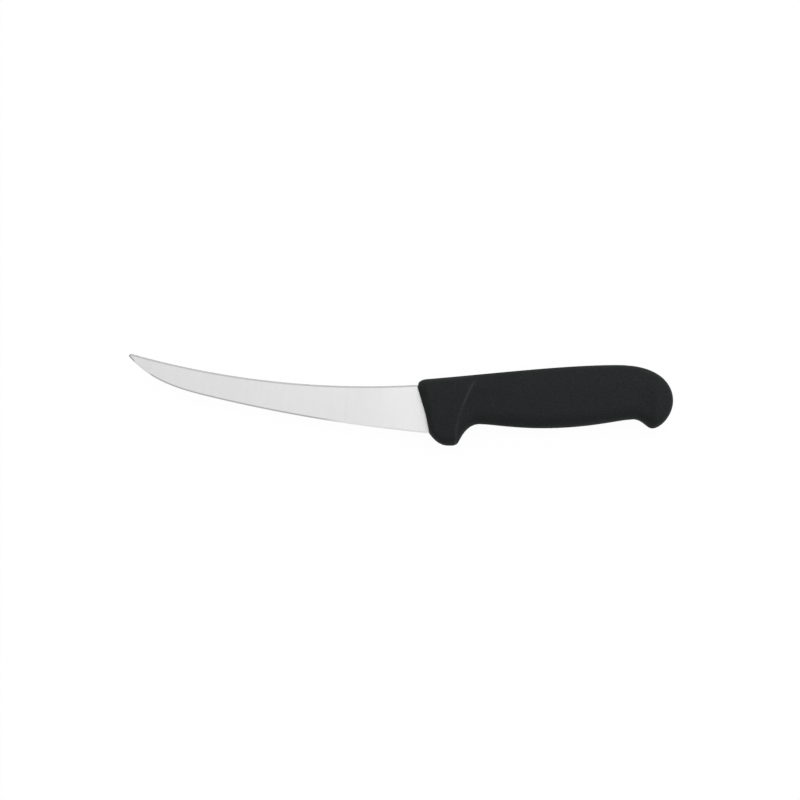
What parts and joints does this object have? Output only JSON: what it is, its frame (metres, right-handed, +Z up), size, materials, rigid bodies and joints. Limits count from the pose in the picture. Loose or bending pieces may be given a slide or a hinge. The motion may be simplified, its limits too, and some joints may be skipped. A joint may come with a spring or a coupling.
{
  "type": "boning knife",
  "caption": "Curved boning knife: upswept satin steel blade on a hidden tang, in a black moulded handle with a finger guard, an oval grip and a hooked butt.",
  "frame": {"origin": "middle of the knife's box in X and Y, on the surface that the knife lies on", "axes": "+X from the blade's tip to the butt, +Y from the cutting edge to the spine, +Z up, across the blade"},
  "size_m": [0.2754, 0.0464, 0.02],
  "materials": {
    "satin_steel": "satin, with fine grinding lines across the blade",
    "black_nylon": "matte black with a fine pebbled grain"
  },
  "bodies": {
    "root": {"blade": "satin_steel", "handle": "black_nylon"}
  },
  "joints": []
}
